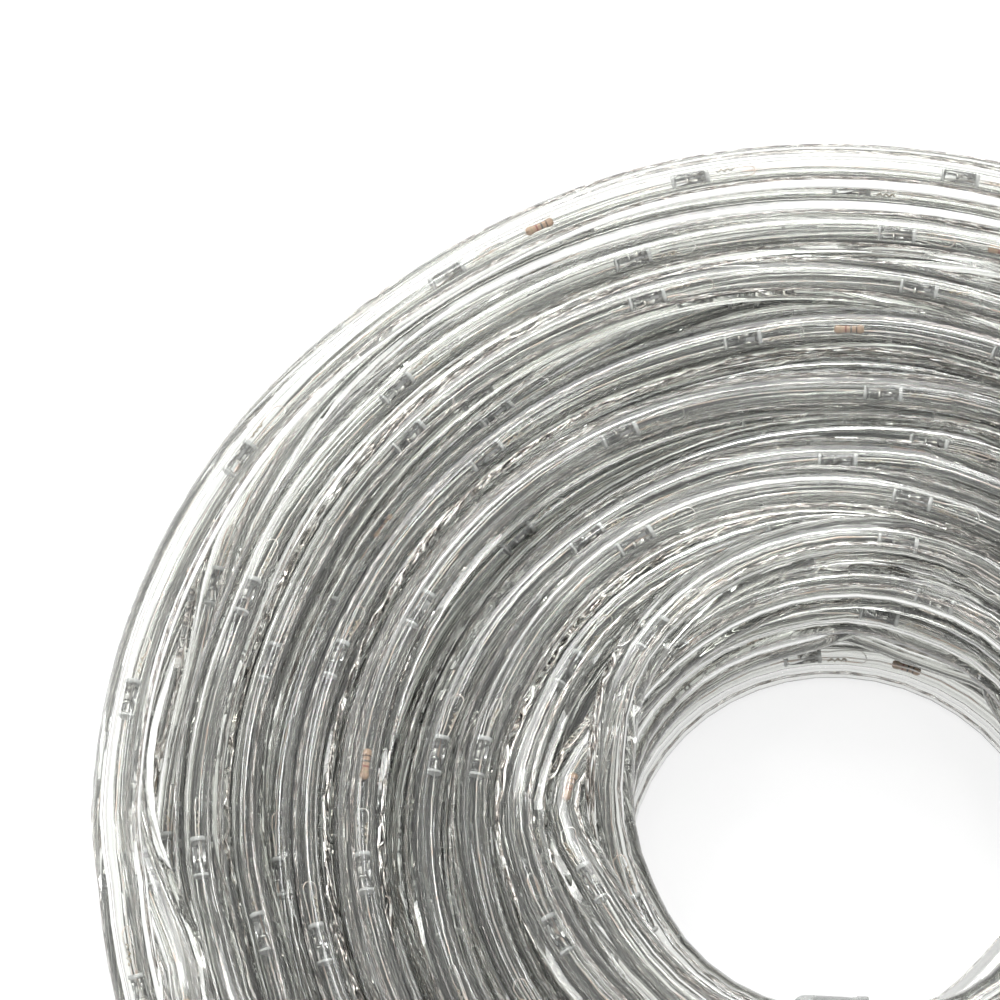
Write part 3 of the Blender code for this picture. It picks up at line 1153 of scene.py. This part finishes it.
@dataclass
class LampRow:
    """The lamps in the rope's core, with their lead frames, lead loops and soldered joints."""

    rope: RopeSize
    line: RopeLine
    pitch: float = 0.079
    length: float = 0.011
    flange_radius: float = 0.0021
    body_radius: float = 0.00175
    rim_radius: float = 0.00205
    flange_height: float = 0.0010
    rim_height: float = 0.0007
    first_base: float = 0.0377
    last_lens_from_tip: float = 0.020
    loop_reach: float = 0.013
    lead_radius: float = 0.00018
    lead_spacing: float = 0.0026
    loop_width: float = 0.0044
    joint_length: float = 0.0055
    joint_turns: float = 3.0
    joint_steps: int = 12
    joint_lay: float = 0.0004
    joint_radius: float = 0.0003
    lamp_sides: int = 12
    seed: int = 5

    def bases(self) -> np.ndarray:
        """Distance of each lamp's base from the rope's inner end."""
        last = self.line.length - self.last_lens_from_tip - self.length
        count = int(round((last - self.first_base) / self.pitch)) + 1
        rng = np.random.default_rng(self.seed)
        places = np.linspace(self.first_base, last, count)
        places[1:-1] += rng.uniform(-0.0025, 0.0025, count - 2)
        return places

    def axes(self, start: np.ndarray, reach: float) -> tuple[np.ndarray, np.ndarray, np.ndarray]:
        """Foot, heading and side axis of straight pieces in the core.

        Args:
            start: Distance of each piece's foot along the rope.
            reach: Length of a piece, signed along the rope.

        Returns:
            The feet, headings and side axes.
        """
        line = self.line
        low = line.at(start, line.points)
        high = line.at(start + reach, line.points)
        rng = np.random.default_rng(self.seed + 1)
        roll = rng.uniform(-math.pi, math.pi, len(start))
        sides = line.at(start, line.sides) * np.cos(roll)[:, None]
        sides += line.at(start, line.ups) * np.sin(roll)[:, None]
        return low, unit(high - low), unit(sides)

    def body_profile(self) -> list[tuple[float, float]]:
        """Section of a lamp: flange, body, rim and a slightly hollow lens end."""
        flange, body, rim = self.flange_radius, self.body_radius, self.rim_radius
        top = self.length
        return [
            (0.0, 0.0),
            (flange * 0.92, 0.0),
            (flange, 0.2 * MM),
            (flange, self.flange_height),
            (body, self.flange_height + 0.15 * MM),
            (body * 0.96, top - self.rim_height - 1.3 * MM),
            (body * 0.80, top - self.rim_height - 0.5 * MM),
            (rim, top - self.rim_height),
            (rim, top - 0.15 * MM),
            (rim * 0.86, top),
            (0.0, top - 1.2 * MM),
        ]

    def body_mesh(self) -> bpy.types.Mesh:
        """A lamp's epoxy, with the faces of its flange and its lens rim marked for the whiter epoxy of
        painted highlights.
        """
        mesh = turned_mesh("lamp_body", self.body_profile(), self.lamp_sides)
        low, high = self.flange_height + 0.1 * MM, self.length - self.rim_height - 0.1 * MM
        heights = [np.mean([mesh.vertices[index].co.z for index in face.vertices]) for face in mesh.polygons]
        marks = [bool(height < low or height > high) for height in heights]
        mesh.attributes.new("rim", "BOOLEAN", "FACE").data.foreach_set("value", marks)
        return mesh

    def frame_mesh(self) -> bpy.types.Mesh:
        """The bright lead frame in a lamp: the cup on its post, and the second post."""
        shape = bmesh.new()
        half = self.lead_spacing / 2
        posts = ((-half * 0.62, 0.9 * MM, 5.6 * MM), (half * 0.62, 0.35 * MM, 5.0 * MM))
        for place, width, top in posts:
            made = bmesh.ops.create_cube(shape, size=1.0)["verts"]
            bmesh.ops.scale(shape, vec=(width, 0.4 * MM, top - 0.4 * MM), verts=made)
            bmesh.ops.translate(shape, vec=(place, 0.0, (top + 0.4 * MM) / 2), verts=made)
        cup = bmesh.ops.create_cone(
            shape, cap_ends=True, segments=8, radius1=0.45 * MM, radius2=0.85 * MM, depth=1.1 * MM
        )["verts"]
        bmesh.ops.translate(shape, vec=(-half * 0.45, 0.0, 6.1 * MM), verts=cup)
        mesh = bpy.data.meshes.new("lamp_frame")
        shape.to_mesh(mesh)
        shape.free()
        return mesh

    def plant(
        self,
        name: str,
        mesh: bpy.types.Mesh,
        finish: bpy.types.Material,
        rim_finish: bpy.types.Material | None = None,
    ) -> bpy.types.Object:
        """Put a copy of a mesh in every lamp's place.

        Args:
            name: The joined piece's name.
            mesh: The mesh to copy, its base at the origin and its lens end up.
            finish: Its material.
            rim_finish: The material of its marked faces, if it has any; for the lamps, the whiter epoxy of
                their painted highlights.

        Returns:
            The joined piece.
        """
        feet, headings, sides = self.axes(self.bases(), self.length)
        model = bpy.data.objects.new(name + "_model", mesh)
        guide = guide_points(name + "_places", feet, {"heading": headings, "side": sides})
        values = {"Piece": model, "Material": finish}
        if rim_finish:
            values["Rim Material"] = rim_finish
        piece = PlantTree("plant_" + name, rim_finish is not None).grow(name, guide, values)
        bpy.data.objects.remove(model, do_unlink=True)
        return piece

    def lead_lines(self) -> list[np.ndarray]:
        """The hairpin of leads behind each lamp, as polylines."""
        bases = self.bases()
        _, _, sides = self.axes(bases, self.length)
        rng = np.random.default_rng(self.seed + 2)
        lines = []
        for base, side in zip(bases, sides):
            reach = self.loop_reach * rng.uniform(0.85, 1.1)
            wide = self.loop_width / 2 * rng.uniform(0.85, 1.0)
            neck = self.lead_spacing / 2
            bend = np.radians([15, 40, 65, 90, 115, 140, 165])
            straight = np.array([0.0, 0.2, 0.55, 0.85]) * (reach - wide)
            leg = neck + (wide - neck) * eased(np.array([0.0, 0.2, 0.6, 0.95]))
            back = np.concatenate([straight, reach - wide + wide * np.sin(bend), straight[::-1]])
            across = np.concatenate([leg, wide * np.cos(bend), -leg[::-1]])
            across = across + rng.uniform(-0.00012, 0.00012, len(across))
            spine = self.line.at(base - back, self.line.points)
            lines.append(spine + side[None, :] * across[:, None])
        return lines

    def joint_lines(self) -> list[np.ndarray]:
        """The twisted, soldered joint on one leg of each hairpin."""
        bases = self.bases()
        _, headings, sides = self.axes(bases, self.length)
        rng = np.random.default_rng(self.seed + 3)
        lines = []
        for base, side, heading in zip(bases, sides, headings):
            start = rng.uniform(0.0015, 0.003)
            back = start + np.linspace(0.0, self.joint_length, self.joint_steps)
            spin = np.linspace(0.0, math.tau * self.joint_turns, self.joint_steps)
            other = np.cross(heading, side)
            centre = self.line.at(base - back, self.line.points)
            across = side[None, :] * (self.lead_spacing / 2 + self.joint_lay * np.cos(spin))[:, None]
            lines.append(centre + across + other[None, :] * (self.joint_lay * np.sin(spin))[:, None])
        return lines

    def build(self, wire: bpy.types.Material) -> list[bpy.types.Object]:
        """Make the lamps and all that belongs to them.

        Args:
            wire: Material of the leads.

        Returns:
            The pieces.
        """
        # Flange and lens rim faces take a whiter, less clear copy of the epoxy: painted highlight on their
        # edges.
        rims = LampEpoxy(name="lamp_epoxy_painted_highlight_rims", clearness=0.30)
        bodies = self.plant("lamps", self.body_mesh(), LampEpoxy().material(), rims.material())
        bright = BrightMetal("lamp_frame_metal", (0.92, 0.91, 0.89), (0.86, 0.82, 0.76), 0.2, 400.0)
        frames = self.plant("lamp_frames", self.frame_mesh(), bright.material())
        loops = SweepTree("sweep_leads").grow(
            "lead_loops",
            guide_lines("lead_lines", self.lead_lines()),
            {"Radius": self.lead_radius, "Sides": 4, "Material": wire},
        )
        solder = BrightMetal("soldered_joint", (0.62, 0.58, 0.52), (0.50, 0.38, 0.24), 0.4, 700.0)
        joints = SweepTree("sweep_joints").grow(
            "lead_joints",
            guide_lines("joint_lines", self.joint_lines()),
            {"Radius": self.joint_radius, "Sides": 4, "Material": solder.material()},
        )
        return [
            give(bodies, Slot.EPOXY, "outer_led", "inner_led"),
            give(frames, Slot.COPPER),
            give(loops, Slot.COPPER, "outer_lead_loop", "inner_lead_loop"),
            give(joints, Slot.COPPER),
        ]


@dataclass
class ResistorRow:
    """The resistors, one in front of every eighth lamp."""

    lamps: LampRow
    every: int = 8
    length: float = 0.0085
    end_radius: float = 0.00125
    waist_radius: float = 0.00105
    from_loop: float = 0.008
    sides: int = 12

    def profile(self) -> list[tuple[float, float]]:
        """Section of a resistor, with its thicker ends."""
        end, waist, top = self.end_radius, self.waist_radius, self.length
        half = [(0.0, 0.0), (end * 0.6, 0.0), (end, end * 0.45), (end, 1.7 * MM), (waist, 2.3 * MM)]
        return half + [(radius, top - height) for radius, height in reversed(half)]

    def build(self) -> bpy.types.Object:
        """Make all the resistors."""
        bases = self.lamps.bases()[::-1][:: self.every]
        starts = bases - self.lamps.loop_reach - self.from_loop - self.length
        feet, headings, sides = self.lamps.axes(starts, self.length)
        body = turned_mesh("resistor_body", self.profile(), self.sides)
        model = bpy.data.objects.new("resistor_model", body)
        guide = guide_points("resistor_places", feet, {"heading": headings, "side": sides})
        values = {"Piece": model, "Material": ResistorLacquer().material()}
        piece = PlantTree("plant_resistors").grow("resistors", guide, values)
        bpy.data.objects.remove(model, do_unlink=True)
        return give(piece, Slot.CERAMIC, "outer_resistor")


@dataclass
class SeriesWire:
    """The thin wire in the core that joins the lamps."""

    line: RopeLine
    radius: float = 0.00024
    wave: float = 0.0011
    least_reach: float = 0.0004
    seed: int = 31

    def build(self, finish: bpy.types.Material) -> bpy.types.Object:
        """Sweep the wire.

        Args:
            finish: Its material.

        Returns:
            The wire.
        """
        rng = np.random.default_rng(self.seed)
        count = len(self.line.points)
        angle = math.pi * smooth_noise(rng, count, 14.0)
        reach = self.least_reach + self.wave * np.abs(smooth_noise(rng, count, 6.0))
        guide = guide_lines("series_line", [self.line.offset(angle, reach)[1:-1]])
        values = {"Radius": self.radius, "Sides": 4, "Material": finish}
        wire = SweepTree("sweep_series").grow("series_wire", guide, values)
        nodes = ("outer_series_wire_1", "outer_series_wire_2", "inner_series_wire")
        return give(wire, Slot.COPPER, *nodes)


@dataclass
class EndCaps:
    """The moulded caps on the rope's two cut ends."""

    rope: RopeSize
    line: RopeLine
    sides: int = 40
    mouth_edge: float = 0.0003
    collar_length: float = 0.003
    collar_step: float = 0.00035
    dome_steps: int = 8

    def profile(self) -> list[tuple[float, float]]:
        """Section of a cap: a cup with a collar at its mouth and a domed end."""
        outer, length, depth = self.rope.cap_radius, self.rope.cap_length, self.rope.cap_depth
        bore, edge = self.rope.radius + self.rope.clearance, self.mouth_edge
        shank, dome = outer - self.collar_step, outer * 0.6
        points = [(0.0, depth), (bore, depth), (bore, edge), (bore + edge, 0.0)]
        points += [(outer - edge, 0.0), (outer, edge), (outer, self.collar_length)]
        points += [(shank, self.collar_length + 0.5 * MM), (shank, length - dome)]
        for index in range(1, self.dome_steps):
            angle = math.pi / 2 * index / self.dome_steps
            points.append((shank * math.cos(angle), length - dome + dome * math.sin(angle)))
        return points + [(0.0, length)]

    def build(self) -> list[bpy.types.Object]:
        """Make both caps."""
        finish = CapPvc().material()
        line, depth = self.line, self.rope.cap_depth - self.rope.clearance
        caps = []
        for name, tip, before in (("outer_end_cap", -1, -4), ("inner_end_cap", 0, 3)):
            heading = unit((line.points[tip] - line.points[before]) * [1.0, 1.0, 0.0])
            mesh = turned_mesh(name, self.profile(), self.sides)
            turn = Vector((0, 0, 1)).rotation_difference(Vector(heading)).to_matrix().to_4x4()
            foot = Vector(line.points[tip] - heading * depth)
            mesh.transform(Matrix.Translation(foot) @ turn)
            mesh.materials.append(finish)
            mesh.shade_smooth()
            caps.append(give(stand(name + "_moulding", mesh), Slot.CAP, name))
        return caps


@dataclass
class Studio:
    """Camera, lights and floor."""

    target_height: float = 0.042
    distance: float = 0.70
    elevation: float = math.radians(70.14)
    yaw: float = math.radians(8.44)
    pitch: float = math.radians(6.18)
    roll: float = math.radians(-7.54)
    focal_pixels: float = 2563.0
    frame_pixels: float = 1000.0
    sensor: float = 36.0
    panel_side: float = 0.11
    panel_height: float = 1.20
    panel_middle: float = 0.40
    panel_gap: float = 0.42
    panel_skew: float = 0.25
    panel_power: float = 0.62
    back_place: tuple = (-0.35, 0.90, 1.05)
    back_size: tuple = (0.9, 0.6)
    back_power: float = 11.0
    horizon_light: float = 1.10
    top_light: float = 1.05
    top_from: float = 0.8
    floor_reach: float = 4.0

    def camera(self) -> None:
        """Stand the camera where the photograph was taken from."""
        back = Vector((0.0, -math.cos(self.elevation), math.sin(self.elevation)))
        forward = -back
        right = forward.cross(Vector((0, 0, 1))).normalized()
        up = right.cross(forward)
        yaw = Matrix.Rotation(self.yaw, 3, up)
        forward, right = yaw @ forward, yaw @ right
        pitch = Matrix.Rotation(self.pitch, 3, right)
        forward, up = pitch @ forward, pitch @ up
        roll = Matrix.Rotation(self.roll, 3, forward)
        right, up = roll @ right, roll @ up
        data = bpy.data.cameras.new("camera")
        data.sensor_width = self.sensor
        data.lens = self.focal_pixels / self.frame_pixels * self.sensor
        data.clip_start = 0.01
        camera = stand("camera", data)
        turn = Matrix((right, up, -forward)).transposed().to_4x4()
        place = back * self.distance + Vector((0, 0, self.target_height))
        camera.matrix_world = Matrix.Translation(place) @ turn
        bpy.context.scene.camera = camera

    def softbox(self, name: str, place: tuple, size: tuple, power: float) -> None:
        """Hang a soft box that faces the coil.

        Args:
            name: The light's name.
            place: Where it hangs, in metres.
            size: Its width and height, in metres.
            power: Its power, in watts.
        """
        data = bpy.data.lights.new(name, "AREA")
        data.shape = "RECTANGLE"
        data.size, data.size_y = size
        data.energy = power
        light = stand(name, data)
        away = Vector(place)
        light.matrix_world = Matrix.Translation(away) @ away.to_track_quat("Z", "Y").to_matrix().to_4x4()

    def sky(self) -> None:
        """Light the room evenly, a little less from above than from the horizon."""
        world = bpy.context.scene.world or bpy.data.worlds.new("studio")
        bpy.context.scene.world = world
        world.use_nodes = True
        world.node_tree.nodes.clear()
        graph = NodeGraph(world.node_tree)
        place = graph.node("ShaderNodeTexCoord")
        parts = graph.node("ShaderNodeSeparateXYZ", Vector=place.outputs["Generated"])
        ramp = graph.node("ShaderNodeValToRGB", Fac=parts.outputs["Z"])
        stops = ((0.0, self.horizon_light), (self.top_from, self.top_light))
        for element, (height, light) in zip(ramp.color_ramp.elements, stops):
            element.position = height
            element.color = (light, light, light, 1.0)
        shine = graph.node("ShaderNodeBackground", Color=ramp.outputs["Color"], Strength=1.0)
        graph.node("ShaderNodeOutputWorld", Surface=shine.outputs[0])

    def floor(self) -> None:
        """Lay the pale floor."""
        sheet = bmesh.new()
        bmesh.ops.create_grid(sheet, x_segments=1, y_segments=1, size=self.floor_reach)
        mesh = bpy.data.meshes.new("floor")
        sheet.to_mesh(mesh)
        sheet.free()
        mesh.materials.append(PaleFloor().material())
        stand("floor", mesh)

    def build(self) -> None:
        """Set up the whole studio."""
        self.camera()
        self.floor()
        self.sky()
        side, height, gap = self.panel_side, self.panel_height, self.panel_gap
        for row in range(-1, 2):
            for column in range(-1, 2):
                place = (gap * (column + self.panel_skew * row), self.panel_middle + gap * row, height)
                self.softbox(f"panel_{row + 2}{column + 2}", place, (side, side), self.panel_power)
        self.softbox("back_box", self.back_place, self.back_size, self.back_power)
        bpy.context.scene.view_settings.view_transform = "Standard"


def main() -> None:
    """Build the studio and the coil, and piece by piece."""
    logging.basicConfig(level=logging.INFO, format="%(name)s %(message)s")
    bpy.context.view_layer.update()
    Studio().build()
    rope = RopeSize()
    line = RopeLine(Winding(rope))
    LOG.info("rope: %.2f m in %d points", line.length, len(line.points))
    wire = BrightMetal().material()
    jacket = Jacket(rope, line).build()
    stranded = StrandedWire().material()
    for bundle in Bundle:
        BusWire(rope, line, bundle).build(stranded)
    lamps = LampRow(rope, line)
    lamps.build(wire)
    ResistorRow(lamps).build()
    SeriesWire(line).build(wire)
    caps = EndCaps(rope, line).build()


if __name__ == "__main__":
    main()
